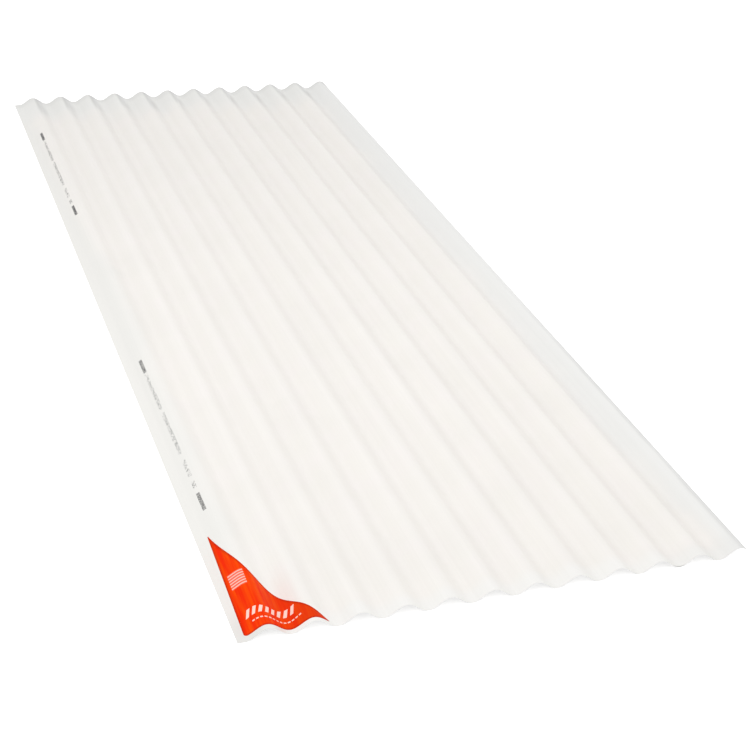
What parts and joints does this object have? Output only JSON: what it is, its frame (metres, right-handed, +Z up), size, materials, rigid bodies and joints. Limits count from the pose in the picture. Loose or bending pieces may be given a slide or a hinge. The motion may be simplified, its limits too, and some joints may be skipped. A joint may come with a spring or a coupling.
{
  "type": "pvc roofing sheet",
  "caption": "Small-wave corrugated roofing sheet of opal white PVC, lying flat, with a thin triangular adhesive label stuck on one corner of its upper face.",
  "frame": {"origin": "under the middle of the sheet, on the level that the wave troughs rest on", "axes": "+X across the waves, +Y along the waves away from the labelled end, +Z up; the label is at the -X, -Y corner"},
  "size_m": [0.9, 2.4, 0.0193],
  "materials": {
    "opal_pvc": "satin",
    "label_film": "satin"
  },
  "bodies": {
    "root": {"corrugated_sheet": "opal_pvc", "corner_label": "label_film"}
  },
  "joints": []
}
